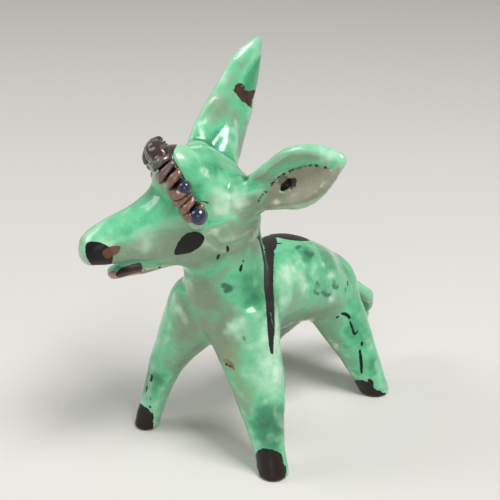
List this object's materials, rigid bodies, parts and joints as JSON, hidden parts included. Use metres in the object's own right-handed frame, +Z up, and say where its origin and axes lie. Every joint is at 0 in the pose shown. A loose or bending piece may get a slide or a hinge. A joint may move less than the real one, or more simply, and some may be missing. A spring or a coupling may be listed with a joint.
{
  "type": "ceramic figurine",
  "caption": "Hand-modelled donkey foal in glossy mint-green glazed clay, standing on splayed legs with its head turned, one ear up, one ear out and a pleated garland on its forehead.",
  "frame": {"origin": "on the ground, under the middle of the figure's bounding box", "axes": "+Z up, the body faces -Y and its left side is +X; the head is turned towards -X"},
  "size_m": [0.0876, 0.1306, 0.1455],
  "materials": {
    "glaze": "glossy mint-green glaze over fired clay, with dark brown painted marks"
  },
  "bodies": {
    "root": {"donkey": "glaze"}
  },
  "joints": []
}
